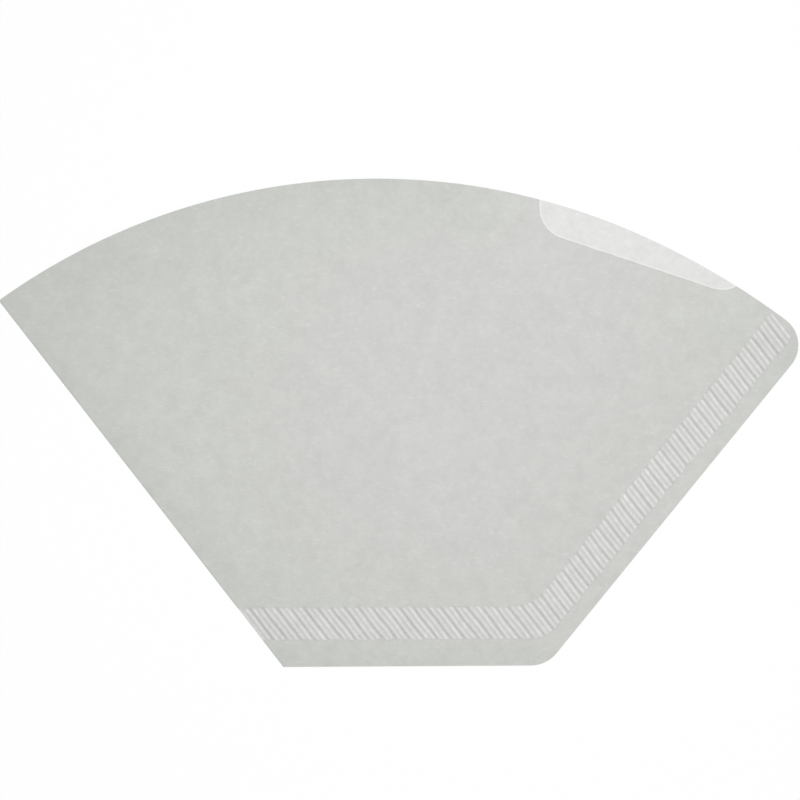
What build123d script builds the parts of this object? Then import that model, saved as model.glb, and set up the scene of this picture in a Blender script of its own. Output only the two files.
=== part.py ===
from build123d import *
from math import atan2, ceil, cos, radians, sin, tan
import os

# A paper coffee filter, lying on its back: one sheet of paper, folded along its left edge,
# closed along its bottom and its right side by a crimped seam, and open at its curved mouth.
# Lengths are in millimetres and angles in degrees. The sheet is drawn from its heel, the
# point where the fold meets the bottom edge.

# Outline of the folded sheet
height = 100.8
bottom_length = 54.4
fold_slope = 52.5
seam_slope = 50.5
mouth_radius = 133.8
mouth_centre_x = 19.1
mouth_end_radius = 159.0
mouth_end_turn = 24.5
mouth_reach_turn = 60.0
toe_radius = 7.0
mouth_corner_radius = 6.5

# Paper, and how far its two plies stand apart
paper_thickness = 0.2
fold_gap = 0.1
mouth_bow = 0.4
pinch_length = 8.0

# Crimped band, which runs inside the bottom edge and the right side
bottom_margin = 5.5
side_margin = 3.4
crimp_width = 6.7
crimp_outer_radius = 7.6
crimp_inner_radius = 8.7
crimp_land = 0.5

# Ridges of the crimp: they run along the fold, and of their crests and grooves every second
# crest is lower and every second groove deeper
ridge_pitch = 1.12
first_crest = 0.15
crest_width = 0.18
crimp_thickness = 0.3
deep_groove = 0.3
shallow_groove = 0.15
crest_drop = 0.05

# Finger notch in the front ply, placed from the centre of the mouth's arc
notch_start = 34.35
notch_width = 44.35
notch_depth = 6.45
notch_tilt = 18.75
notch_radius = 6.6

# How far a cut runs past what it cuts
overrun = 5.0

# Sizes that follow from these
fold_radius = paper_thickness + fold_gap / 2
crest_height = crimp_thickness + deep_groove
crimp_bottom = bottom_margin + crimp_width
crimp_side = side_margin + crimp_width
mouth_centre_y = height - mouth_radius
past_mouth = height + overrun
past_faces = mouth_bow + overrun
across_fold = Vector(sin(radians(fold_slope)), cos(radians(fold_slope)), 0)
along_fold = Vector(-cos(radians(fold_slope)), sin(radians(fold_slope)), 0)
fold_plane = Plane((0, 0, 0), x_dir=across_fold, z_dir=-along_fold)


def fold_x(y, inset):
    """Where a line inside the folded edge is, at a height above the bottom edge."""
    return inset / sin(radians(fold_slope)) - y / tan(radians(fold_slope))


def seam_x(y, inset):
    """Where a line inside the right side's cut edge is, at a height above the bottom edge."""
    return bottom_length + y / tan(radians(seam_slope)) - inset / sin(radians(seam_slope))


def wedge(bottom_inset, side_inset, corner_radius, fold_inset=0):
    """The area inside three lines along the bottom, right side and fold, out past the mouth."""
    with BuildSketch() as area:
        Polygon(
            (fold_x(bottom_inset, fold_inset), bottom_inset),
            (seam_x(bottom_inset, side_inset), bottom_inset),
            (seam_x(past_mouth, side_inset), past_mouth),
            (fold_x(past_mouth, fold_inset), past_mouth),
            align=None,
        )
        toe = area.vertices().group_by(Axis.Y)[0].sort_by(Axis.X)[-1]
        fillet(toe, corner_radius)
    return area.sketch


# Front ply: a shallow cone that rises from the fold and the crimp's inner side to the mouth
cot_sum = 1 / tan(radians(fold_slope)) + 1 / tan(radians(seam_slope))
apex_y = (fold_x(0, fold_radius) - seam_x(0, crimp_side)) / cot_sum
apex_x = fold_x(apex_y, fold_radius)
half_spread = radians(180 - fold_slope - seam_slope) / 2
heading = radians(180 - fold_slope + seam_slope) / 2
rise = atan2(mouth_bow, height - apex_y)
axis_tilt = atan2(cos(rise) - cos(half_spread), sin(rise))
cone_angle = axis_tilt + rise
cone_length = 4 * mouth_radius
cone_up = Vector(
    -cos(axis_tilt) * cos(heading), -cos(axis_tilt) * sin(heading), sin(axis_tilt)
)
pinch_slope = tan(rise) * (crimp_bottom + pinch_length - apex_y) / pinch_length


def under_front_ply(area, wall):
    """The space over an area, from a wall above the underside to a wall below the front."""
    level = 2 * fold_radius - wall
    with BuildPart(Plane((apex_x, apex_y, level), z_dir=cone_up)) as space:
        Cone(
            cone_length * sin(cone_angle),
            0,
            cone_length * cos(cone_angle),
            align=(Align.CENTER, Align.CENTER, Align.MAX),
        )
        with BuildSketch(Plane.XY.offset(wall)):
            add(area)
        extrude(amount=past_faces, mode=Mode.INTERSECT)
        with BuildSketch(Plane.YZ):
            Polygon(
                (crimp_bottom, level),
                (past_mouth, level + pinch_slope * (past_mouth - crimp_bottom)),
                (past_mouth, -overrun),
                (crimp_bottom, -overrun),
                align=None,
            )
        extrude(amount=mouth_radius, both=True, mode=Mode.INTERSECT)
    return space.part


# Mouth: one long arc, which runs on in a flatter one towards the right side
turn_radius = mouth_end_radius - mouth_radius
end_centre_x = mouth_centre_x - turn_radius * sin(radians(mouth_end_turn))
end_centre_y = mouth_centre_y - turn_radius * cos(radians(mouth_end_turn))
with BuildSketch() as mouth:
    with BuildLine():
        main_arc = CenterArc(
            (mouth_centre_x, mouth_centre_y),
            mouth_radius,
            90 - mouth_end_turn,
            mouth_end_turn + mouth_reach_turn,
        )
        end_arc = CenterArc(
            (end_centre_x, end_centre_y),
            mouth_end_radius,
            90 - mouth_end_turn,
            mouth_end_turn - mouth_reach_turn,
        )
        Polyline(main_arc @ 1, (end_centre_x, end_centre_y), end_arc @ 1)
    make_face()

# Outline
with BuildSketch() as outline:
    add(wedge(0, 0, toe_radius))
    add(mouth.sketch, mode=Mode.INTERSECT)
    mouth_corner = outline.vertices().sort_by(Axis.X)[-1]
    fillet(mouth_corner, mouth_corner_radius)

# Area of the flat margin outside the crimp
with BuildSketch() as margin_area:
    add(outline.sketch)
    add(wedge(bottom_margin, side_margin, crimp_outer_radius), mode=Mode.SUBTRACT)

# Band that the crimp fills
with BuildSketch() as band:
    add(outline.sketch)
    add(wedge(bottom_margin, side_margin, crimp_outer_radius), mode=Mode.INTERSECT)
    add(wedge(crimp_bottom, crimp_side, crimp_inner_radius), mode=Mode.SUBTRACT)

# Area of the pocket, inside the crimp and out past the fold
with BuildSketch() as pocket_area:
    add(wedge(crimp_bottom, crimp_side, crimp_inner_radius, fold_inset=-overrun))
    add(mouth.sketch, mode=Mode.INTERSECT)

# Bend along the folded edge, which joins the two plies
with BuildPart() as bend:
    with BuildSketch(fold_plane):
        with BuildLine():
            round_edge = ThreePointArc(
                (fold_radius, 0), (0, fold_radius), (fold_radius, 2 * fold_radius)
            )
            Line(round_edge @ 1, round_edge @ 0)
        make_face()
    extrude(amount=mouth_radius, both=True)

# Margin: the two plies lie flat on each other, joined by the bend and beside the crimp
farthest = max(vertex.center().dot(across_fold) for vertex in outline.vertices())
past_seam = farthest + overrun
with BuildPart() as margin:
    add(bend.part)
    with BuildSketch(fold_plane):
        Polygon(
            (fold_radius, 0),
            (past_seam, 0),
            (past_seam, 2 * fold_radius),
            (fold_radius, 2 * fold_radius),
            align=None,
        )
    extrude(amount=mouth_radius, both=True)
    extrude(margin_area.sketch, amount=past_faces, both=True, mode=Mode.INTERSECT)
    with BuildSketch(Plane.XY.offset(paper_thickness)):
        add(wedge(-overrun, -overrun, toe_radius, paper_thickness))
        land = wedge(
            bottom_margin - crimp_land, side_margin - crimp_land, crimp_outer_radius + crimp_land
        )
        add(land, mode=Mode.SUBTRACT)
    extrude(amount=fold_gap, mode=Mode.SUBTRACT)

# Crimp: both plies pressed into one ridged strip
half_pitch = ridge_pitch / 2
pair_count = ceil(farthest / (2 * ridge_pitch)) + 1
corners = []
for pair in range(-1, pair_count):
    first = first_crest + 2 * ridge_pitch * pair
    for step, dip in enumerate((crest_drop, shallow_groove, 0, deep_groove)):
        middle_s = first + step * half_pitch
        corners.append((middle_s - crest_width / 2, dip))
        corners.append((middle_s + crest_width / 2, dip))

with BuildPart() as crimp:
    with BuildSketch(fold_plane):
        front_face = [(s, crest_height - dip) for s, dip in corners]
        back_face = [(s, deep_groove - dip) for s, dip in reversed(corners)]
        Polygon(*front_face, *back_face, align=None)
    extrude(amount=mouth_radius, both=True)
    extrude(band.sketch, amount=past_faces, both=True, mode=Mode.INTERSECT)

# Pocket: the front ply over the back one, with the bend that joins them
with BuildPart() as pocket:
    add(under_front_ply(wedge(crimp_bottom, crimp_side, crimp_inner_radius, fold_radius), 0))
    add(bend.part)
    extrude(pocket_area.sketch, amount=past_faces, both=True, mode=Mode.INTERSECT)

# Space inside the pocket, which starts a narrow land away from the crimp
hollow_area = wedge(
    crimp_bottom + crimp_land, crimp_side + crimp_land, crimp_inner_radius, paper_thickness
)
with BuildPart() as hollow:
    add(under_front_ply(hollow_area, paper_thickness))

# Finger notch, down to the back ply
notch_end = notch_start + notch_width


def notch_y(x):
    """Where the notch's lower edge is, at a distance right of the mouth's centre."""
    tilt = radians(notch_tilt)
    return mouth_centre_y + (mouth_radius - notch_depth - x * sin(tilt)) / cos(tilt)


with BuildSketch(Plane.XY.offset(paper_thickness)) as notch:
    Polygon(
        (mouth_centre_x + notch_start, notch_y(notch_start)),
        (mouth_centre_x + notch_end, notch_y(notch_end)),
        (mouth_centre_x + notch_end, past_mouth),
        (mouth_centre_x + notch_start, past_mouth),
        align=None,
    )
    lower_corners = notch.vertices().sort_by(Axis.Y)[:2]
    fillet(lower_corners, notch_radius)

# The whole filter
with BuildPart() as filter_paper:
    add(margin.part)
    add(crimp.part)
    add(pocket.part)
    add(hollow.part, mode=Mode.SUBTRACT)
    extrude(notch.sketch, amount=past_faces, mode=Mode.SUBTRACT)

# The origin is under the middle of the outline, on the surface that the filter lies on
middle = outline.sketch.bounding_box().center()
filter_paper.part.position = (-middle.X, -middle.Y, 0)
filter_paper.part.label = "filter_paper"

os.makedirs("parts", exist_ok=True)
export_step(filter_paper.part, "parts/filter_paper.step")
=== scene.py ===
"""Dresses the paper coffee filter: its one folded sheet, its paper and the studio that it lies in.

Lengths are in metres and angles in radians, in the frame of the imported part. The sheet is drawn
in its fold frame: s is the distance from the folded edge, and r runs along that edge from the
heel, where the fold meets the bottom edge, up towards the mouth.
"""

import logging
import math
from dataclasses import dataclass
from enum import Enum, IntEnum
from functools import cached_property
from typing import Any

import bpy
import numpy as np
from mathutils import Color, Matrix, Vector


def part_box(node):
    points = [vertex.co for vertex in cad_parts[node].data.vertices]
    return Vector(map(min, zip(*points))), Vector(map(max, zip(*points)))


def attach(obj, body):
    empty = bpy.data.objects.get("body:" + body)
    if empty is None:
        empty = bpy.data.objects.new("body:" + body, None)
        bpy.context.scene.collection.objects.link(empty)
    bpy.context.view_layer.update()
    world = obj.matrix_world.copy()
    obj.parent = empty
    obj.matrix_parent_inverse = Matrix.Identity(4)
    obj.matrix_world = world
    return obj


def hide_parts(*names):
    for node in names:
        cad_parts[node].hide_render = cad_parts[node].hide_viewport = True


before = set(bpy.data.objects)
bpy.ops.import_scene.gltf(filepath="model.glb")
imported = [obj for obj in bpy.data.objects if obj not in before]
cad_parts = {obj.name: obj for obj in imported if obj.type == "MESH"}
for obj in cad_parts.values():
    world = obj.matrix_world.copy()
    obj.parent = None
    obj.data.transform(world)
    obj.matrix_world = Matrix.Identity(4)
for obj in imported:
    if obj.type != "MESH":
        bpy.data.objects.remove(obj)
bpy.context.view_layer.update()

log = logging.getLogger("paper_filter")

NODE = "filter_paper"
BODY = "root"
NOISE_MEAN = 0.5
FULL_CHANNEL = 255

Colour = tuple[float, float, float]


class SheetData(Enum):
    """What the sheet's vertices carry for its finish, with its painted light and shade, and for its
    thickness.
    """

    BAND = "crimp_band"
    RELIEF = "crimp_relief"
    SEAM = "near_seam"
    EDGE = "near_edge"
    LOOSE = "loose_paper"


class Selection(Enum):
    """What is selected in edit mode, as the tool settings name it."""

    EDGES = (False, True, False)
    FACES = (False, False, True)


class Mix(IntEnum):
    """The places of a Mix node's sockets when it mixes colours."""

    SHARE = 0
    FIRST = 6
    SECOND = 7
    RESULT = 2


def eased(share: np.ndarray) -> np.ndarray:
    """Return shares held from 0 to 1, with a level start and end."""
    held = np.clip(share, 0.0, 1.0)
    return held * held * (3.0 - 2.0 * held)


def heading(turn: float) -> Vector:
    """Return the level direction at a turn from the x axis."""
    return Vector((math.cos(turn), math.sin(turn)))


def linear(red: int, green: int, blue: int) -> Colour:
    """Turn a colour as a screen shows it into the light that it stands for.

    Args:
        red: Red, from 0 to 255.
        green: Green, from 0 to 255.
        blue: Blue, from 0 to 255.

    Returns:
        The linear colour, from 0 to 1.
    """
    shown = Color([channel / FULL_CHANNEL for channel in (red, green, blue)])
    return tuple(shown.from_srgb_to_scene_linear())


@dataclass(frozen=True)
class Outline:
    """The cut shape of the folded sheet, seen from above."""

    height: float
    bottom_length: float = 0.0544
    fold_slope: float = math.radians(52.5)
    seam_slope: float = math.radians(50.5)
    mouth_radius: float = 0.1338
    mouth_centre_x: float = 0.0191
    mouth_end_radius: float = 0.159
    mouth_end_turn: float = math.radians(24.5)
    toe_radius: float = 0.007
    mouth_corner_radius: float = 0.0065

    @property
    def mouth_centre(self) -> Vector:
        """The middle of the mouth's long arc, from the heel."""
        return Vector((self.mouth_centre_x, self.height - self.mouth_radius))

    @property
    def seam_turn(self) -> float:
        """The turn from the fold frame's s to the right side's inward direction."""
        return self.fold_slope + self.seam_slope

    @property
    def heel_from_tip(self) -> float:
        """How far the heel lies to the right of the outline's left tip."""
        return float(self.mouth(np.zeros(1))[0]) * math.cos(self.fold_slope)

    def fold_place(self, x: float, y: float) -> tuple[float, float]:
        """Turn a place from the heel into s and r."""
        sine, cosine = math.sin(self.fold_slope), math.cos(self.fold_slope)
        return x * sine + y * cosine, y * sine - x * cosine

    def heel_place(self, s: np.ndarray, r: np.ndarray) -> tuple[np.ndarray, np.ndarray]:
        """Turn s and r into a place from the heel."""
        sine, cosine = math.sin(self.fold_slope), math.cos(self.fold_slope)
        return s * sine - r * cosine, s * cosine + r * sine

    def mouth_depth(self, x: np.ndarray, y: np.ndarray) -> np.ndarray:
        """Return how far places from the heel lie inside the mouth's long arc."""
        return self.mouth_radius - np.hypot(x - self.mouth_centre.x, y - self.mouth_centre.y)

    def bottom_line(self, s: np.ndarray, inset: float) -> np.ndarray:
        """Return r along a line inside the bottom edge."""
        return (inset - s * math.cos(self.fold_slope)) / math.sin(self.fold_slope)

    def seam_line(self, s: np.ndarray, inset: float) -> np.ndarray:
        """Return r along a line inside the right side."""
        start = inset - self.bottom_length * math.sin(self.seam_slope)
        return (start - s * math.cos(self.seam_turn)) / math.sin(self.seam_turn)

    def rounded_line(
        self, s: np.ndarray, bottom_inset: float, seam_inset: float, radius: float
    ) -> np.ndarray:
        """Follow the bottom, round the toe and go on up the right side.

        Args:
            s: Distances from the fold.
            bottom_inset: How far inside the bottom edge the line runs.
            seam_inset: How far inside the right side it runs.
            radius: Its radius at the toe.

        Returns:
            r of the line at each s.
        """
        closing = 1.0 / math.tan(self.fold_slope) - 1.0 / math.tan(self.seam_turn)
        bottom_start = self.bottom_line(0.0, bottom_inset + radius)
        seam_start = self.seam_line(0.0, seam_inset + radius)
        middle_s = (bottom_start - seam_start) / closing
        middle_r = self.bottom_line(middle_s, bottom_inset + radius)
        before = s < middle_s - radius * math.cos(self.fold_slope)
        after = s > middle_s - radius * math.cos(self.seam_turn)
        line = middle_r - np.sqrt(np.maximum(radius**2 - (s - middle_s) ** 2, 0.0))
        line = np.where(before, self.bottom_line(s, bottom_inset), line)
        return np.where(after, self.seam_line(s, seam_inset), line)

    @cached_property
    def end_centre(self) -> Vector:
        """Find the middle of the mouth's flatter end arc.

        Returns:
            Its s and r.
        """
        back = self.mouth_end_radius - self.mouth_radius
        x = self.mouth_centre.x - back * math.sin(self.mouth_end_turn)
        y = self.mouth_centre.y - back * math.cos(self.mouth_end_turn)
        return Vector(self.fold_place(x, y))

    @cached_property
    def corner_centre(self) -> Vector:
        """Find the middle of the rounded corner between the mouth and the right side.

        Returns:
            Its s and r.
        """
        along = Vector((math.sin(self.seam_turn), -math.cos(self.seam_turn)))
        start = Vector((0.0, self.seam_line(0.0, self.mouth_corner_radius)))
        offset = start - self.end_centre
        behind = offset.dot(along)
        reach = self.mouth_end_radius - self.mouth_corner_radius
        run = math.sqrt(behind**2 - offset.length_squared + reach**2) - behind
        return start + run * along

    @property
    def far_reach(self) -> float:
        """The largest distance from the fold."""
        return self.corner_centre.x + self.mouth_corner_radius

    def corner_half(self, s: np.ndarray) -> np.ndarray:
        """Return half the rounded corner's width along r."""
        inside = self.mouth_corner_radius**2 - (s - self.corner_centre.x) ** 2
        return np.sqrt(np.maximum(inside, 0.0))

    def foot(self, s: np.ndarray) -> np.ndarray:
        """Follow the lower cut edge: the bottom, the toe, the right side and the mouth's corner.

        Args:
            s: Distances from the fold.

        Returns:
            r of the edge at each s.
        """
        rounds_at = self.corner_centre.x - self.mouth_corner_radius * math.cos(self.seam_turn)
        corner = self.corner_centre.y - self.corner_half(s)
        return np.where(s > rounds_at, corner, self.rounded_line(s, 0.0, 0.0, self.toe_radius))

    def mouth(self, s: np.ndarray) -> np.ndarray:
        """Follow the mouth's edge: the long arc, the flatter end arc and the corner.

        Args:
            s: Distances from the fold.

        Returns:
            r of the edge at each s.
        """
        main_s, main_r = self.fold_place(*self.mouth_centre)
        end_s, end_r = self.end_centre
        flattens_at = main_s + self.mouth_radius * math.cos(self.fold_slope - self.mouth_end_turn)
        reach = self.mouth_end_radius - self.mouth_corner_radius
        rounds_at = end_s + (self.corner_centre.x - end_s) * self.mouth_end_radius / reach
        edge = main_r + np.sqrt(np.maximum(self.mouth_radius**2 - (s - main_s) ** 2, 0.0))
        end_arc = end_r + np.sqrt(np.maximum(self.mouth_end_radius**2 - (s - end_s) ** 2, 0.0))
        edge = np.where(s > flattens_at, end_arc, edge)
        return np.where(s > rounds_at, self.corner_centre.y + self.corner_half(s), edge)


@dataclass(frozen=True)
class Unevenness:
    """Slight irregularity in a surface: seeded waves that cross the sheet in all directions."""

    length: float
    seed: int
    waves: int = 7
    shortest_share: float = 0.7
    longest_share: float = 1.5

    def at(self, s: np.ndarray, r: np.ndarray) -> np.ndarray:
        """Work out the irregularity at places on the sheet.

        Args:
            s: Distances from the fold.
            r: Distances along it.

        Returns:
            Numbers around 0, mostly between -1 and 1.
        """
        chance = np.random.default_rng(self.seed)
        turns, starts = chance.uniform(0.0, 2.0 * math.pi, (2, self.waves))
        lengths = self.length * chance.uniform(self.shortest_share, self.longest_share, self.waves)
        total = np.zeros_like(s)
        for turn, start, length in zip(turns, starts, lengths):
            run = s * math.cos(turn) + r * math.sin(turn)
            total += np.sin(2.0 * math.pi * run / length + start)
        return total / math.sqrt(self.waves)


@dataclass(frozen=True)
class Crimp:
    """The pressed band along the bottom and the right side, with ridges that run along the fold."""

    bottom_margin: float = 0.0055
    side_margin: float = 0.0034
    width: float = 0.0067
    outer_radius: float = 0.0076
    inner_radius: float = 0.0087
    ridge_pitch: float = 0.00112
    first_crest: float = 0.00015
    deep_groove: float = 0.0003
    shallow_groove: float = 0.00015
    crest_drop: float = 0.00002
    groove_power: float = 4.0
    end_power: float = 4.0
    far_end: float = 0.125
    spill: float = 0.00045
    run_out: float = 0.0005
    stagger: float = 0.0004
    inner_rounding: float = 0.0004
    outer_rounding: float = 0.0002
    dip_share: float = 0.11
    wander: float = 0.00005
    wander_waves: Unevenness = Unevenness(length=0.006, seed=5)
    crest_share: float = 0.05
    crest_waves: Unevenness = Unevenness(length=0.0016, seed=8)
    seed: int = 3
    spare_pairs: int = 2

    @property
    def half_pitch(self) -> float:
        """The distance from a crest to the groove beside it."""
        return self.ridge_pitch / 2

    @property
    def pair_dips(self) -> tuple[float, ...]:
        """How far a pair's crests and grooves lie below the highest crest, in turn."""
        return self.crest_drop, self.shallow_groove, 0.0, self.deep_groove

    @property
    def bottom_inset(self) -> float:
        """How far inside the bottom edge the band ends."""
        return self.bottom_margin + self.width

    @property
    def seam_inset(self) -> float:
        """How far inside the right side the band ends."""
        return self.side_margin + self.width

    def outer_line(self, outline: Outline, s: np.ndarray) -> np.ndarray:
        """Return r of the line that the ridges' longest ends reach outside the band."""
        line = outline.rounded_line(s, self.bottom_margin, self.side_margin, self.outer_radius)
        return line - self.spill

    def inner_line(self, outline: Outline, s: np.ndarray) -> np.ndarray:
        """Return r of the line that the ridges' longest ends reach inside the band."""
        line = outline.rounded_line(s, self.bottom_inset, self.seam_inset, self.inner_radius)
        return line + self.spill

    def held(self, r: np.ndarray, outer: np.ndarray, inner: np.ndarray) -> np.ndarray:
        """Return 1 between two lines along the band, running out to 0 at each of them."""
        return eased((r - outer) / self.run_out) * eased((inner - r) / self.run_out)

    def varied(self, steps: np.ndarray, values: np.ndarray) -> np.ndarray:
        """Go smoothly from one crest's or groove's value to the next.

        Args:
            steps: Distances from the first crest, in half pitches.
            values: A value for each crest and groove in turn.

        Returns:
            The value at each distance.
        """
        before = np.floor(steps).astype(int)
        swing = (1.0 - np.cos(math.pi * (steps - before))) / 2.0
        return values[before] + (values[before + 1] - values[before]) * swing

    def press(
        self, s: np.ndarray, r: np.ndarray, outer: np.ndarray, inner: np.ndarray
    ) -> tuple[np.ndarray, np.ndarray]:
        """Press the ridges, which stand in pairs with rounded ends that don't quite line up.

        Args:
            s: Distances from the fold, past the first crest.
            r: Distances along it.
            outer: r of the ridges' longest outer ends at each place.
            inner: r of their longest inner ends.

        Returns:
            How far each place is pressed, from 0 to 1, and its height above the deep grooves.
        """
        steps = (s + self.wander * self.wander_waves.at(s, r) - self.first_crest) / self.half_pitch
        pair_steps = len(self.pair_dips)
        chance = np.random.default_rng(self.seed)
        dips = np.tile(self.pair_dips, int(steps.max()) // pair_steps + self.spare_pairs)
        dips *= 1.0 - self.dip_share * chance.random(dips.size)
        dips[::2] += self.dip_share * self.shallow_groove * chance.random(dips.size // 2)
        outer_short, inner_short = self.stagger * chance.random((2, dips.size))
        outer_end = outer + self.varied(steps, outer_short)
        inner_end = inner - self.varied(steps, inner_short)

        # A pair's ends are round: they fall back towards the deep grooves on both sides of it
        from_middle = 2.0 * ((steps + 1.0) % pair_steps) / pair_steps - 1.0
        fall_back = from_middle**self.end_power
        round_outer = outer_end + self.outer_rounding * fall_back
        round_inner = inner_end - self.inner_rounding * fall_back

        # A ridge takes two steps: its crest, and the narrower groove after it
        ridges = steps / 2
        crest_dips = dips[::2][np.rint(ridges).astype(int)]
        groove_dips = dips[1::2][np.floor(ridges).astype(int)]
        in_groove = np.abs(np.sin(math.pi * ridges)) ** self.groove_power
        height = self.deep_groove - crest_dips - (groove_dips - crest_dips) * in_groove
        height *= 1.0 + self.crest_share * self.crest_waves.at(s, r)
        before_corner = eased((self.far_end - s) / self.run_out)
        pressed = before_corner * self.held(r, outer_end, inner_end)
        return pressed, before_corner * height * self.held(r, round_outer, round_inner)


@dataclass(frozen=True)
class CutSide:
    """One straight side of a cut, in the part's frame, with the direction that leads inside."""

    point: Vector
    inward: Vector

    def depth(self, x: np.ndarray, y: np.ndarray) -> np.ndarray:
        """Return how far places lie inside the side."""
        return (x - self.point.x) * self.inward.x + (y - self.point.y) * self.inward.y


@dataclass(frozen=True)
class CutCorner:
    """A rounded corner of a cut: its middle, and the directions of its two sides away from it."""

    middle: Vector
    sides_along: tuple[Vector, Vector]


@dataclass(frozen=True)
class FingerNotch:
    """The notch in the front ply's edge, placed from the middle of the mouth's long arc."""

    centre: Vector
    mouth_radius: float
    start: float = 0.03435
    width: float = 0.04435
    depth: float = 0.00645
    tilt: float = math.radians(18.75)
    radius: float = 0.0066
    corner_steps: int = 10
    rest_length: float = 0.012
    fill_share: float = 2 / 3

    @property
    def edge_turn(self) -> float:
        """The direction that leads inside from the lower edge."""
        return math.pi / 2 - self.tilt

    @property
    def area(self) -> float:
        """About how much paper the notch takes out of the front ply."""
        return self.fill_share * self.width * self.depth

    def side(self, turn: float, distance: float) -> CutSide:
        """Make a side whose inward direction and distance from the centre are given."""
        inward = heading(turn)
        return CutSide(self.centre + distance * inward, inward)

    @property
    def main_sides(self) -> list[CutSide]:
        """Set out the straight sides.

        Returns:
            The left side, the lower edge and the right side.
        """
        left = self.side(0.0, self.start)
        lower = self.side(self.edge_turn, self.mouth_radius - self.depth)
        right = self.side(math.pi, -self.start - self.width)
        return [left, lower, right]

    def closeness(self, x: np.ndarray, y: np.ndarray) -> np.ndarray:
        """Return 1 inside the notch and less around it, down to 0."""
        outside = np.maximum.reduce([-side.depth(x, y) for side in self.main_sides])
        return eased(1.0 - outside / self.rest_length)

    def corner_middle(self, x: float) -> Vector:
        """Return the middle of a rounded corner, from the centre of the mouth."""
        level = self.mouth_radius - self.depth + self.radius
        return Vector((x, (level - x * math.sin(self.tilt)) / math.cos(self.tilt)))

    @property
    def corners(self) -> list[CutCorner]:
        """Set out the rounded corners.

        Returns:
            The left and the right lower corner.
        """
        up = Vector((0.0, 1.0))
        along_edge = heading(-self.tilt)
        left = self.centre + self.corner_middle(self.start + self.radius)
        right = self.centre + self.corner_middle(self.start + self.width - self.radius)
        return [CutCorner(left, (up, along_edge)), CutCorner(right, (-along_edge, up))]

    def corner_sides(self, x: float, first_turn: float, last_turn: float) -> list[CutSide]:
        """Round a lower corner with short straight cuts.

        Args:
            x: The corner's middle, from the centre of the mouth.
            first_turn: The inward direction of the side before the corner.
            last_turn: The inward direction of the side after it.

        Returns:
            The cuts, which all touch the corner's circle.
        """
        middle = self.corner_middle(x)
        turns = np.linspace(first_turn, last_turn, self.corner_steps + 2)[1:-1]
        return [self.side(turn, middle.dot(heading(turn)) - self.radius) for turn in turns]

    @property
    def sides(self) -> list[CutSide]:
        """Set out everything that is cut.

        Returns:
            The straight sides, and then the short cuts round the two corners.
        """
        left = self.corner_sides(self.start + self.radius, 0.0, self.edge_turn)
        right = self.corner_sides(self.start + self.width - self.radius, self.edge_turn, math.pi)
        return self.main_sides + left + right


class Value:
    """One number in a shader: an output socket that Python's operators combine by Math nodes."""

    def __init__(self, bench: "Bench", socket: bpy.types.NodeSocket) -> None:
        """Keep the socket and the bench that its nodes stand on."""
        self.bench = bench
        self.socket = socket

    def __add__(self, other: "Value | float") -> "Value":
        """Add a value or a number."""
        return self.bench.math("ADD", self, other)

    def __radd__(self, other: float) -> "Value":
        """Add to a number."""
        return self.bench.math("ADD", other, self)

    def __sub__(self, other: "Value | float") -> "Value":
        """Take a value or a number away."""
        return self.bench.math("SUBTRACT", self, other)

    def __rsub__(self, other: float) -> "Value":
        """Take from a number."""
        return self.bench.math("SUBTRACT", other, self)

    def __mul__(self, other: "Value | float") -> "Value":
        """Multiply by a value or a number."""
        return self.bench.math("MULTIPLY", self, other)

    def __rmul__(self, other: float) -> "Value":
        """Multiply a number."""
        return self.bench.math("MULTIPLY", other, self)


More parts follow.
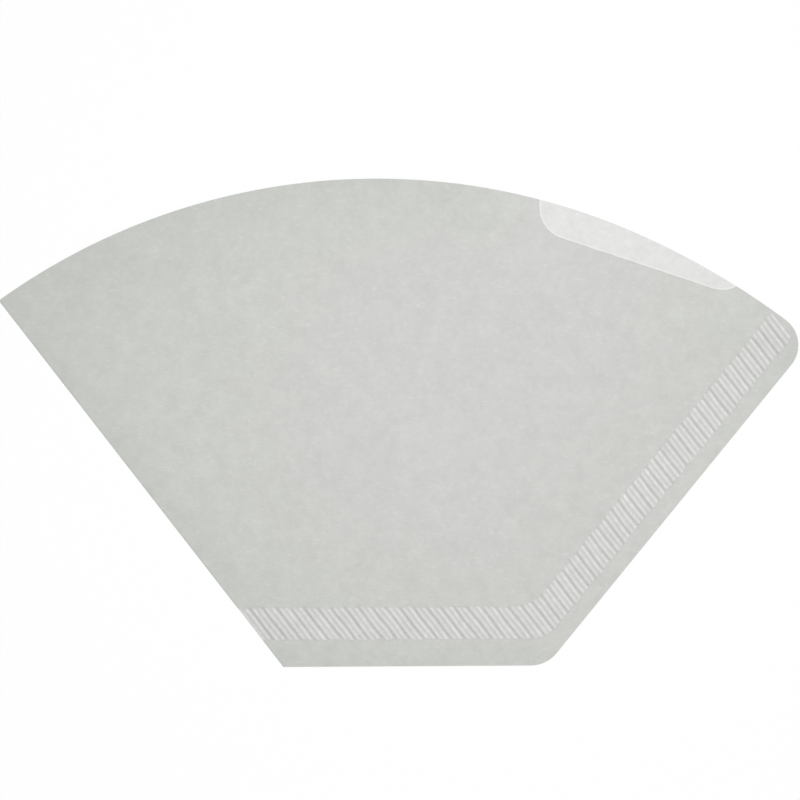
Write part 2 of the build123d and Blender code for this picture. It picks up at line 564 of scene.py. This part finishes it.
class Bench:
    """A node tree in the making."""

    def __init__(self, tree: bpy.types.NodeTree) -> None:
        """Start with an empty tree."""
        self.tree = tree
        tree.nodes.clear()

    def add(
        self,
        kind: str,
        inputs: dict[str | int, Any] | None = None,
        output: str | int = 0,
        **settings: Any,
    ) -> Value | None:
        """Add one node.

        Args:
            kind: The node's type.
            inputs: Values or links of its sockets, by name or number.
            output: The output that is wanted, by name or number.
            settings: The node's own settings, which are set before its sockets.

        Returns:
            The wanted output, or None for a node that has none.
        """
        node = self.tree.nodes.new(kind)
        for name, setting in settings.items():
            setattr(node, name, setting)
        for key, given in (inputs or {}).items():
            if isinstance(given, Value):
                self.tree.links.new(given.socket, node.inputs[key])
            else:
                node.inputs[key].default_value = given
        return Value(self, node.outputs[output]) if node.outputs else None

    def math(self, operation: str, *operands: Value | float) -> Value:
        """Add a Math node for an operation on values and numbers."""
        return self.add("ShaderNodeMath", dict(enumerate(operands)), operation=operation)

    def vector(
        self, operation: str, *operands: Value | tuple[float, ...], output: str | int = 0
    ) -> Value:
        """Add a Vector Math node for an operation on places and directions."""
        inputs = dict(enumerate(operands))
        return self.add("ShaderNodeVectorMath", inputs, output, operation=operation)

    def mix(self, share: Value, first: Value | Colour, second: Value | Colour) -> Value:
        """Add a Mix node that goes from one colour to another."""
        inputs = {Mix.SHARE: share, Mix.FIRST: self.solid(first), Mix.SECOND: self.solid(second)}
        return self.add("ShaderNodeMix", inputs, Mix.RESULT, data_type="RGBA")

    def solid(self, colour: Value | Colour) -> Value | tuple[float, ...]:
        """Give a plain colour the fourth number that a colour socket takes."""
        return colour if isinstance(colour, Value) else (*colour, 1.0)

    def scaled(self, colour: Value, factor: Value) -> Value:
        """Add a Vector Math node that makes a colour lighter or darker."""
        return self.add("ShaderNodeVectorMath", {0: colour, "Scale": factor}, operation="SCALE")

    def along(self, place: Value, way: Vector) -> Value:
        """Measure a place along a level direction."""
        return self.vector("DOT_PRODUCT", place, (*way, 0.0), output="Value")

    def behind(self, place: Value, way: Vector) -> Value:
        """Give 1 where a place lies behind the start of a level direction, and otherwise 0."""
        return self.math("LESS_THAN", self.along(place, way), 0.0)

    def upright(self, vector: Value) -> Value:
        """Add a Separate XYZ node that gives the upright part of a place or direction."""
        return self.add("ShaderNodeSeparateXYZ", {0: vector}, output="Z")

    def rise(self, value: Value, start: float, end: float) -> Value:
        """Add a Map Range node that goes smoothly from 0 at one number to 1 at another."""
        inputs = {"Value": value, "From Min": start, "From Max": end}
        return self.add("ShaderNodeMapRange", inputs, interpolation_type="SMOOTHSTEP")

    def carried(self, data: SheetData) -> Value:
        """Read a number that the sheet's vertices carry."""
        return self.add("ShaderNodeAttribute", output="Fac", attribute_name=data.value)

    def seen(self) -> Value:
        """Tell what is seen from what only gives light.

        Returns:
            1 for what the camera, a reflection or a clear surface shows, and otherwise 0.
        """
        rays = ("Is Camera Ray", "Is Glossy Ray", "Is Transmission Ray")
        camera, glossy, through = (self.add("ShaderNodeLightPath", output=ray) for ray in rays)
        return self.math("MAXIMUM", self.math("MAXIMUM", camera, glossy), through)


@dataclass(frozen=True)
class FilterPaper:
    """Unprinted filter paper: pale grey, greener away from its middle, with short fine fibres and
    painted light and shade.
    """

    notch: FingerNotch
    ply_split: float
    colour: Colour = linear(206, 206, 204)
    far_colour: Colour = linear(205, 208, 202)
    middle: tuple[float, float, float] = (0.025, 0.0, 0.0)
    far_start: float = 0.01
    far_full: float = 0.11
    edge_share: float = 0.5
    seam_colour: Colour = linear(205, 207, 201)
    seam_share: float = 0.3
    single_ply_light_colour: Colour = linear(224, 224, 222)
    window_reach: float = 0.0012
    window_blur: float = 0.0004
    cut_width: float = 0.0006
    cut_tone: float = -0.02
    contact_shadow_fill_tone: float = 0.14
    notch_reach: float = 0.02
    notch_light_tone: float = 0.025
    cloud_size: float = 0.0011
    cloud_tone: float = 0.11
    floc_size: float = 0.0035
    floc_tone: float = 0.1
    patch_size: float = 0.006
    patch_share: float = 0.5
    patch_tone: float = 0.05
    fleck_width: float = 0.0005
    fleck_stretch: float = 3.0
    fleck_turns: tuple[float, ...] = (0.2, 1.25, 2.3)
    fleck_start: float = 0.65
    fleck_full: float = 0.73
    fleck_tone: float = 0.055
    speck_size: float = 0.0007
    highlight_speck_tone: float = 0.24
    crest_highlight_tone: float = 0.275
    crest_power: float = 2.8
    groove_shade_tone: float = -0.055
    seam_tone: float = 0.012
    edge_shade_tone: float = 0.035
    detail: float = 1.0
    detail_share: float = 0.6
    roughness: float = 0.9
    specular: float = 0.2
    bump_strength: float = 0.25
    bump_height: float = 0.00004

    def noise(self, bench: Bench, place: Value, size: float) -> Value:
        """Add a noise around 0 whose features have the given size."""
        inputs = {"Scale": 1.0 / size, "Detail": self.detail, "Roughness": self.detail_share}
        return bench.add("ShaderNodeTexNoise", {"Vector": place, **inputs}) - NOISE_MEAN

    def flecks(self, bench: Bench, place: Value) -> Value:
        """Scatter short fibres that lie in three directions.

        Args:
            bench: The material's bench.
            place: Object coordinates.

        Returns:
            1 on a fibre and 0 between them.
        """
        most = None
        for turn in self.fleck_turns:
            stretch = (1.0, self.fleck_stretch, 1.0)
            inputs = {"Vector": place, "Rotation": (0.0, 0.0, turn), "Scale": stretch}
            turned = bench.add("ShaderNodeMapping", inputs)
            streak = self.noise(bench, turned, self.fleck_width * self.fleck_stretch)
            fibre = bench.rise(streak + NOISE_MEAN, self.fleck_start, self.fleck_full)
            most = fibre if most is None else bench.math("MAXIMUM", most, fibre)
        return most

    def notch_depth(self, bench: Bench, place: Value) -> Value:
        """Measure how far places lie inside the notch, round its lower corners too.

        Args:
            bench: The material's bench.
            place: Object coordinates.

        Returns:
            The depth, which is negative outside the notch.
        """
        flat = bench.vector("MULTIPLY", place, (1.0, 1.0, 0.0))
        inside = None
        for side in self.notch.main_sides:
            depth = bench.along(flat, side.inward) - side.point.dot(side.inward)
            inside = depth if inside is None else bench.math("MINIMUM", inside, depth)
        for corner in self.notch.corners:
            away = bench.vector("SUBTRACT", flat, (*corner.middle, 0.0))
            first, last = (bench.behind(away, way) for way in corner.sides_along)
            reach = bench.vector("LENGTH", away, output="Value")
            inside = inside + first * last * (self.notch.radius - reach - inside)
        return inside

    def standing(self, bench: Bench, band: Value, underside: Value) -> Value:
        """Work out how far the crimp stands out on the side that a face looks to, for its painted
        light and shade.

        Args:
            bench: The material's bench.
            band: 1 in the crimp and 0 outside it.
            underside: 1 on faces that look down, and otherwise 0.

        Returns:
            1 on a crest and 0 in a deep groove, which change places on the underside.
        """
        above = bench.carried(SheetData.RELIEF)
        below = band * bench.math("MAXIMUM", 1.0 - above, 0.0)
        return above + underside * (below - above)

    def make(self) -> bpy.types.Material:
        """Make the material.

        Returns:
            The paper, with its colour, painted light and shade, roughness and bump from nodes.
        """
        paper = bpy.data.materials.new("filter_paper_fibre")
        paper.use_nodes = True
        bench = Bench(paper.node_tree)
        place = bench.add("ShaderNodeTexCoord", output="Object")
        facing = bench.add("ShaderNodeTexCoord", output="Normal")
        underside = bench.math("LESS_THAN", bench.upright(facing), 0.0)
        cloud = self.noise(bench, place, self.cloud_size)
        floc = self.noise(bench, place, self.floc_size)
        patch = self.noise(bench, place, self.patch_size)
        speck = self.noise(bench, place, self.speck_size)
        fleck = self.flecks(bench, place)
        band = bench.carried(SheetData.BAND)
        seam = bench.carried(SheetData.SEAM)
        edge = bench.carried(SheetData.EDGE)

        # Notch: the window where the back ply shows, lighter with painted light that comes through
        # the single ply, and the front ply's cut edge
        depth = self.notch_depth(bench, place)
        back_ply = bench.math("LESS_THAN", bench.upright(place), self.ply_split)
        window_start = -self.window_reach - self.window_blur
        through_light = back_ply * bench.rise(depth, window_start, -self.window_reach)
        # Along the notch's cut edge, on faces that look up only: a faintly darker line on the front
        # ply, and painted light on the back ply
        cut = bench.rise(depth, -self.cut_width, 0.0) * bench.rise(depth, self.cut_width, 0.0)
        cut = cut * (1.0 - underside)

        # Lightness: the paper's own clouding and fibres, with painted light and shade
        tone = 1.0 + cloud * self.cloud_tone + floc * self.floc_tone + patch * self.patch_tone
        # Painted highlight on the crimp's crests and painted shade in its grooves; they trade
        # places on the underside, so the side that stands out towards a face is the lit one
        crest = bench.math("POWER", self.standing(bench, band, underside), self.crest_power)
        tone = tone + fleck * self.fleck_tone + band * self.groove_shade_tone
        tone = tone + crest * (self.crest_highlight_tone + speck * self.highlight_speck_tone)
        # Darker beside the crimp's inner line, and painted shade towards the fold, the bottom and
        # the mouth
        tone = tone - seam * self.seam_tone - edge * self.edge_shade_tone
        # Painted light that fills the front ply's contact shadow on the back ply, and a faintly
        # darker line on the front ply's edge
        tone = tone + cut * (self.cut_tone + back_ply * self.contact_shadow_fill_tone)
        # Painted light: the paper grows lighter towards the notch
        tone = tone + bench.rise(depth, -self.notch_reach, 0.0) * self.notch_light_tone

        # Colour: greener away from the middle and beside the seam, and lighter with painted light
        # through the single ply in the notch's window
        reach = bench.vector("DISTANCE", place, self.middle, output="Value")
        far = bench.rise(reach, self.far_start, self.far_full) + edge * self.edge_share
        far = far + patch * self.patch_share
        colour = bench.mix(far * (1.0 - band), self.colour, self.far_colour)
        colour = bench.mix(seam * self.seam_share * (1.0 - band), colour, self.seam_colour)
        colour = bench.mix(through_light, colour, self.single_ply_light_colour)

        relief = cloud + fleck
        bump = {"Strength": self.bump_strength, "Distance": self.bump_height, "Height": relief}
        inputs = {
            "Base Color": bench.scaled(colour, tone),
            "Roughness": self.roughness + cloud * self.cloud_tone,
            "Specular IOR Level": self.specular,
            "Normal": bench.add("ShaderNodeBump", bump),
        }
        shader = bench.add("ShaderNodeBsdfPrincipled", inputs)
        bench.add("ShaderNodeOutputMaterial", {"Surface": shader})
        return paper


@dataclass
class FilterSheet:
    """The whole filter: one sheet of paper, folded, crimped along its seam and notched."""

    outline: Outline
    crimp: Crimp
    notch: FingerNotch
    heel: Vector
    thickness: float = 0.0002
    fold_gap: float = 0.0001
    seam_gap: float = 0.00003
    pressed_share: float = 0.55
    bow: float = 0.0004
    rest_share: float = 0.9
    pinch_length: float = 0.008
    opening_length: float = 0.0025
    fold_reach: float = 0.007
    bottom_reach: float = 0.0025
    mouth_reach: float = 0.016
    seam_reach: float = 0.04
    ripple_share: float = 0.06
    ripple: Unevenness = Unevenness(length=0.04, seed=11)
    ridge_steps: int = 4
    bend_steps: int = 8
    blank_size: float = 1.0
    edge_trim: float = 0.00001
    end_clearance: float = 0.5
    least_length: float = 0.0003
    merge_length: float = 0.000002
    cut_threshold: float = 0.0000002
    cut_reach: float = 0.009
    sharp_angle: float = math.radians(40.0)
    pocket_stride: int = 8
    corner_length: float = 0.008
    margin_row_shares: tuple[float, ...] = (0.0, 0.9)
    crimp_row_shares: tuple[float, ...] = (
        0.0, 0.02, 0.04, 0.065, 0.095, 0.13, 0.2, 0.32, 0.44,
        0.56, 0.68, 0.79, 0.86, 0.905, 0.935, 0.96, 0.98,
    )
    pocket_row_shares: tuple[float, ...] = (
        0.0, 0.015, 0.04, 0.08, 0.14, 0.22, 0.32, 0.43, 0.55, 0.67, 0.79, 0.9, 1.0,
    )

    @property
    def fold_radius(self) -> float:
        """The outer radius of the fold."""
        return self.thickness + self.fold_gap / 2

    @property
    def ply_split(self) -> float:
        """A height between the two plies, where they aren't crimped."""
        return self.fold_radius

    def columns(self) -> tuple[np.ndarray, np.ndarray]:
        """Set out the grid's columns, from the back ply's far edge round the fold to the front's.

        Returns:
            Each column's distance from the fold, and its share of the lift from ply to ply.
        """
        step = self.crimp.half_pitch / self.ridge_steps
        far = self.outline.far_reach - self.edge_trim
        first = math.ceil((self.fold_radius - self.crimp.first_crest) / step + self.end_clearance)
        last = math.floor((far - self.crimp.first_crest) / step - self.end_clearance)
        along_ridges = self.crimp.first_crest + step * np.arange(first, last + 1)
        ply = np.concatenate(([self.fold_radius], along_ridges, [far]))
        turn = np.linspace(-math.pi / 2, math.pi / 2, self.bend_steps + 1)[1:-1]
        bend = self.fold_radius - (self.fold_radius - self.thickness / 2) * np.cos(turn)
        s = np.concatenate((ply[::-1], bend, ply))
        back_lift, front_lift = np.zeros(ply.size), np.ones(ply.size)
        return s, np.concatenate((back_lift, (1.0 + np.sin(turn)) / 2, front_lift))

    def kept_clear(self, line: np.ndarray, foot: np.ndarray, mouth: np.ndarray) -> np.ndarray:
        """Move a line onto the foot or the mouth wherever it comes too close to it."""
        line = np.where(line - foot < self.least_length, foot, line)
        return np.where(mouth - line < self.least_length, mouth, line)

    def rows(self, s: np.ndarray) -> np.ndarray:
        """Set out the grid's rows: through the margin, the crimp and the pocket.

        Args:
            s: The columns' distances from the fold.

        Returns:
            r of each row at each column.
        """
        foot, mouth = self.outline.foot(s), self.outline.mouth(s)
        outer = self.kept_clear(self.crimp.outer_line(self.outline, s), foot, mouth)
        inner = self.kept_clear(self.crimp.inner_line(self.outline, s), foot, mouth)
        stretches = (
            (self.margin_row_shares, foot, outer),
            (self.crimp_row_shares, outer, inner),
            (self.pocket_row_shares, inner, mouth),
        )
        return np.array([a + share * (b - a) for shares, a, b in stretches for share in shares])

    def bow_height(self, s: np.ndarray, r: np.ndarray) -> np.ndarray:
        """Work out how far the front ply bows away from the back one.

        Args:
            s: Distances from the fold.
            r: Distances along it.

        Returns:
            Heights of a shallow cone that closes at the fold, the crimp and the bottom.
        """
        apex_r = self.outline.seam_line(self.fold_radius, self.crimp.seam_inset)
        apex_y = self.outline.heel_place(self.fold_radius, apex_r)[1]
        half_spread = (math.pi - self.outline.seam_turn) / 2
        across, along = s - self.fold_radius, r - apex_r
        turn = np.arctan2(across, along) - half_spread
        rise = self.bow / (self.outline.height - apex_y)
        crown = (np.cos(turn) - math.cos(half_spread)) / (1.0 - math.cos(half_spread))
        cone = np.maximum(np.hypot(across, along) * rise * crown, self.edge_trim)
        pinch_end = self.crimp.bottom_inset + self.pinch_length
        pinch_slope = rise * (pinch_end - apex_y) / self.pinch_length
        above_crimp = self.outline.heel_place(s, r)[1] - self.crimp.bottom_inset
        pinch = np.maximum(pinch_slope * above_crimp, 0.0)
        return cone * np.tanh(pinch / cone) * (1.0 + self.ripple_share * self.ripple.at(s, r))

    @property
    def open_row(self) -> int:
        """The first row of the pocket."""
        return len(self.margin_row_shares) + len(self.crimp_row_shares)

    @property
    def row_count(self) -> int:
        """How many rows the grid has."""
        return self.open_row + len(self.pocket_row_shares)

    def blank(self) -> bpy.types.Object:
        """Add the flat grid that the sheet is shaped from.

        Returns:
            The grid, with a vertex for each column and row.
        """
        s, _ = self.columns()
        bpy.ops.object.select_all(action="DESELECT")
        bpy.ops.mesh.primitive_grid_add(
            x_subdivisions=s.size - 1, y_subdivisions=self.row_count - 1, size=self.blank_size
        )
        sheet = bpy.context.active_object
        sheet.name = sheet.data.name = "folded_filter_sheet"
        return sheet

    def grid_places(self, sheet: bpy.types.Object) -> tuple[np.ndarray, np.ndarray]:
        """Read which column and row of the flat grid each vertex stands in.

        Args:
            sheet: The flat grid.

        Returns:
            Each vertex's column and row.
        """
        s, _ = self.columns()
        flat = np.empty(len(sheet.data.vertices) * 3)
        sheet.data.vertices.foreach_get("co", flat)
        places = flat.reshape(-1, 3)
        x, y, _ = (places - places.min(axis=0)).T / self.blank_size
        column = np.rint(x * (s.size - 1)).astype(int)
        return column, np.rint(y * (self.row_count - 1)).astype(int)

    def fold(self, sheet: bpy.types.Object, column: np.ndarray, row: np.ndarray) -> None:
        """Move the grid's vertices to their places on the folded and crimped sheet.

        Args:
            sheet: The flat grid.
            column: Each vertex's column.
            row: Each vertex's row.
        """
        column_s, column_lift = self.columns()
        s, r, lift = column_s[column], self.rows(column_s)[row, column], column_lift[column]
        held_s = np.maximum(s, self.fold_radius)
        outer = self.crimp.outer_line(self.outline, s)
        inner = self.crimp.inner_line(self.outline, s)
        pressed, ridge = self.crimp.press(held_s, r, outer, inner)
        thickness = self.thickness * (1.0 - (1.0 - self.pressed_share) * pressed)
        opened = eased((r - inner) / self.opening_length)
        gap = self.seam_gap + (self.fold_gap - self.seam_gap + self.bow_height(held_s, r)) * opened
        x, y = self.outline.heel_place(s, r)
        near_notch = self.notch.closeness(x + self.heel.x, y + self.heel.y)
        gap *= 1.0 - self.rest_share * near_notch
        z = thickness / 2 + ridge + lift * (thickness + gap)
        places = np.column_stack((x + self.heel.x, y + self.heel.y, z))
        # Closeness to the fold, the bottom and the mouth, which sets the painted shade along these
        # edges
        near_fold = eased(1.0 - s / self.fold_reach)
        near_bottom = eased(1.0 - y / self.bottom_reach)
        near_mouth = eased(1.0 - self.outline.mouth_depth(x, y) / self.mouth_reach)
        near_mouth *= 1.0 - near_notch
        sheet.data.vertices.foreach_set("co", places.ravel())
        # The band and the relief also set the painted highlight on the crests and the painted shade
        # in the grooves
        self.carry(sheet, SheetData.BAND, pressed)
        self.carry(sheet, SheetData.RELIEF, ridge / self.crimp.deep_groove)
        self.carry(sheet, SheetData.SEAM, eased(1.0 - (r - inner) / self.seam_reach))
        self.carry(sheet, SheetData.EDGE, np.maximum.reduce([near_fold, near_bottom, near_mouth]))
        self.loosen(sheet, pressed)
        sheet.data.update()

    def carry(self, sheet: bpy.types.Object, data: SheetData, values: np.ndarray) -> None:
        """Give the sheet's vertices numbers that its finish reads."""
        attribute = sheet.data.attributes.new(data.value, "FLOAT", "POINT")
        attribute.data.foreach_set("value", values)

    def loosen(self, sheet: bpy.types.Object, pressed: np.ndarray) -> None:
        """Weight the sheet's vertices by how loose their paper is, which sets its thickness.

        Args:
            sheet: The folded sheet.
            pressed: How far each vertex is pressed, from 0 to 1.
        """
        loose = sheet.vertex_groups.new(name=SheetData.LOOSE.value)
        loose.add(range(pressed.size), 1.0, "REPLACE")
        for index in np.flatnonzero(pressed > 0.0):
            loose.add([int(index)], 1.0 - pressed[index], "REPLACE")

    def edit(self, sheet: bpy.types.Object, selection: Selection, chosen: np.ndarray) -> None:
        """Open the sheet in edit mode, with only the chosen edges or faces selected.

        Args:
            sheet: The folded sheet.
            selection: Whether edges or faces are chosen.
            chosen: Whether each edge or face is chosen.
        """
        mesh = sheet.data
        for elements in (mesh.vertices, mesh.edges, mesh.polygons):
            elements.foreach_set("select", np.zeros(len(elements), bool))
        elements = mesh.edges if selection is Selection.EDGES else mesh.polygons
        elements.foreach_set("select", chosen)
        bpy.context.tool_settings.mesh_select_mode = selection.value
        bpy.ops.object.mode_set(mode="EDIT")

    def thin_pocket(self, sheet: bpy.types.Object, column: np.ndarray, row: np.ndarray) -> None:
        """Dissolve most of the pocket's columns, which only the crimp needs so close together.

        Args:
            sheet: The folded sheet.
            column: Each vertex's column.
            row: Each vertex's row.
        """
        s, _ = self.columns()
        spare = np.arange(s.size) % self.pocket_stride > 0
        spare &= (s > self.corner_length) & (s < self.outline.far_reach - self.corner_length)
        ends = np.empty(len(sheet.data.edges) * 2, int)
        sheet.data.edges.foreach_get("vertices", ends)
        first, second = ends.reshape(-1, 2).T
        chosen = (column[first] == column[second]) & spare[column[first]]
        chosen &= np.minimum(row[first], row[second]) > self.open_row
        self.edit(sheet, Selection.EDGES, chosen)
        bpy.ops.mesh.dissolve_edges(use_verts=True)
        bpy.ops.object.mode_set(mode="OBJECT")

    def merge(self) -> None:
        """Merge the vertices of rows that end in one point."""
        bpy.ops.object.mode_set(mode="EDIT")
        bpy.ops.mesh.select_all(action="SELECT")
        bpy.ops.mesh.remove_doubles(threshold=self.merge_length)
        bpy.ops.object.mode_set(mode="OBJECT")

    def select_front(self, sheet: bpy.types.Object, limits: list[float]) -> None:
        """Select the front ply's faces in edit mode, by how far inside the notch's sides they lie.

        Args:
            sheet: The folded sheet.
            limits: The least depth inside each side.
        """
        centres = np.empty(len(sheet.data.polygons) * 3)
        sheet.data.polygons.foreach_get("center", centres)
        x, y, z = centres.reshape(-1, 3).T
        chosen = z > self.ply_split
        for side, limit in zip(self.notch.sides, limits):
            chosen &= side.depth(x, y) > limit
        self.edit(sheet, Selection.FACES, chosen)

    def cut_notch(self, sheet: bpy.types.Object) -> None:
        """Cut the notch out of the front ply, one straight side after another.

        Args:
            sheet: The folded sheet.
        """
        sides = self.notch.sides
        for count, side in enumerate(sides):
            limits = [0.0] * count + [-self.cut_reach] * (len(sides) - count)
            self.select_front(sheet, limits)
            bpy.ops.mesh.bisect(
                plane_co=(*side.point, 0.0),
                plane_no=(*side.inward, 0.0),
                threshold=self.cut_threshold,
            )
            bpy.ops.object.mode_set(mode="OBJECT")
        self.select_front(sheet, [0.0] * len(sides))
        bpy.ops.mesh.delete(type="FACE")
        bpy.ops.object.mode_set(mode="OBJECT")

    def thicken(self, sheet: bpy.types.Object) -> None:
        """Give the paper its thickness, less where it is pressed, and smooth its faces.

        Args:
            sheet: The folded sheet.
        """
        wall = sheet.modifiers.new("paper", "SOLIDIFY")
        wall.thickness = self.thickness
        wall.offset = 0.0
        wall.vertex_group = SheetData.LOOSE.value
        wall.thickness_vertex_group = self.pressed_share
        bpy.ops.object.modifier_apply(modifier=wall.name)
        bpy.ops.object.shade_smooth_by_angle(angle=self.sharp_angle)

    def flat_size(self) -> tuple[float, float]:
        """Measure the sheet before it was folded.

        Returns:
            Its width across the fold, and its length along it.
        """
        s, _ = self.columns()
        r = self.rows(s)
        return 2 * self.outline.far_reach, float(r.max() - r.min())

    def flat_area(self) -> float:
        """Measure the paper in the sheet.

        Returns:
            The area of the cut sheet before it was folded.
        """
        s, _ = self.columns()
        lengths = self.outline.mouth(s) - self.outline.foot(s)
        plies = float(np.abs(np.diff(s) * (lengths[1:] + lengths[:-1]) / 2).sum())
        return plies - self.notch.area

    def build(self) -> bpy.types.Object:
        """Model the sheet.

        Returns:
            The finished sheet, which rides on the part and stands for its one node.
        """
        sheet = self.blank()
        column, row = self.grid_places(sheet)
        self.fold(sheet, column, row)
        self.thin_pocket(sheet, column, row)
        self.merge()
        self.cut_notch(sheet)
        self.merge()
        self.thicken(sheet)
        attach(sheet, BODY)
        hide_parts(NODE)
        self.flat_size()
        self.flat_area()
        return sheet

    def dress(self, sheet: bpy.types.Object) -> None:
        """Give the sheet its paper.

        Args:
            sheet: The finished sheet.
        """
        paper = FilterPaper(self.notch, self.ply_split)
        sheet.data.materials.clear()
        sheet.data.materials.append(paper.make())


@dataclass(frozen=True)
class Studio:
    """A plain pale floor, soft light and a camera that looks straight down."""

    floor_size: float = 6.0
    floor_drop: float = 0.00005
    floor_colour: Colour = (0.97, 0.97, 0.97)
    floor_white_share: float = 0.95
    sky_colour: Colour = (1.0, 1.0, 1.0)
    sky_strength: float = 0.5
    white_strength: float = 1.0
    lamp_place: Vector = Vector((0.025, 0.018, 0.23))
    lamp_size: float = 0.2
    lamp_power: float = 0.343
    aim: Vector = Vector((0.00021, 0.00464, 0.0))
    frame_width: float = 0.16541
    roll: float = math.radians(-0.3455)
    lens_mm: float = 200.0
    sensor_mm: float = 36.0

    def lay_floor(self) -> None:
        """Lay the floor, which shows white and keeps a faint shadow."""
        bpy.ops.object.select_all(action="DESELECT")
        place = (0.0, 0.0, -self.floor_drop)
        bpy.ops.mesh.primitive_plane_add(size=self.floor_size, location=place)
        floor = bpy.context.active_object
        floor.name = "studio_floor"
        material = bpy.data.materials.new("studio_floor_white")
        material.use_nodes = True
        bench = Bench(material.node_tree)
        matt = bench.add("ShaderNodeBsdfDiffuse", {"Color": bench.solid(self.floor_colour)})
        white = bench.add("ShaderNodeEmission", {"Strength": self.white_strength})
        share = bench.seen() * self.floor_white_share
        surface = bench.add("ShaderNodeMixShader", {0: share, 1: matt, 2: white})
        bench.add("ShaderNodeOutputMaterial", {"Surface": surface})
        floor.data.materials.append(material)

    def light(self) -> None:
        """Light the sheet with an even sky and a soft lamp over the right of its middle."""
        world = bpy.data.worlds.new("studio_sky")
        world.use_nodes = True
        bench = Bench(world.node_tree)
        colour = bench.solid(self.sky_colour)
        sky = bench.add("ShaderNodeBackground", {"Color": colour, "Strength": self.sky_strength})
        white = {"Color": colour, "Strength": self.white_strength}
        backdrop = bench.add("ShaderNodeBackground", white)
        surface = bench.add("ShaderNodeMixShader", {0: bench.seen(), 1: sky, 2: backdrop})
        bench.add("ShaderNodeOutputWorld", {"Surface": surface})
        bpy.context.scene.world = world
        bpy.ops.object.light_add(type="AREA", location=self.lamp_place)
        lamp = bpy.context.active_object
        lamp.name = "studio_lamp"
        lamp.data.size = self.lamp_size
        lamp.data.energy = self.lamp_power
        lamp.visible_camera = False

    def place_camera(self) -> None:
        """Hang the camera over the sheet."""
        distance = self.frame_width * self.lens_mm / self.sensor_mm
        place = self.aim + Vector((0.0, 0.0, distance))
        bpy.ops.object.camera_add(location=place, rotation=(0.0, 0.0, self.roll))
        camera = bpy.context.active_object
        camera.name = "studio_camera"
        camera.data.lens = self.lens_mm
        camera.data.sensor_width = self.sensor_mm
        bpy.context.scene.camera = camera

    def build(self) -> None:
        """Set up the whole studio."""
        self.lay_floor()
        self.light()
        self.place_camera()
        bpy.context.scene.view_settings.view_transform = "Standard"


def main() -> None:
    """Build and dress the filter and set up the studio."""
    logging.basicConfig(level=logging.INFO, format="%(name)s: %(message)s")
    low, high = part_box(NODE)
    outline = Outline(height=high.y - low.y)
    heel = Vector((low.x + outline.heel_from_tip, low.y))
    notch = FingerNotch(heel + outline.mouth_centre, outline.mouth_radius)
    filter_sheet = FilterSheet(outline, Crimp(), notch, heel)
    sheet = filter_sheet.build()
    filter_sheet.dress(sheet)
    log.info("%s: %d faces", sheet.name, len(sheet.data.polygons))
    Studio().build()
    log.info("studio: floor, sky, lamp and camera")


if __name__ == "__main__":
    main()
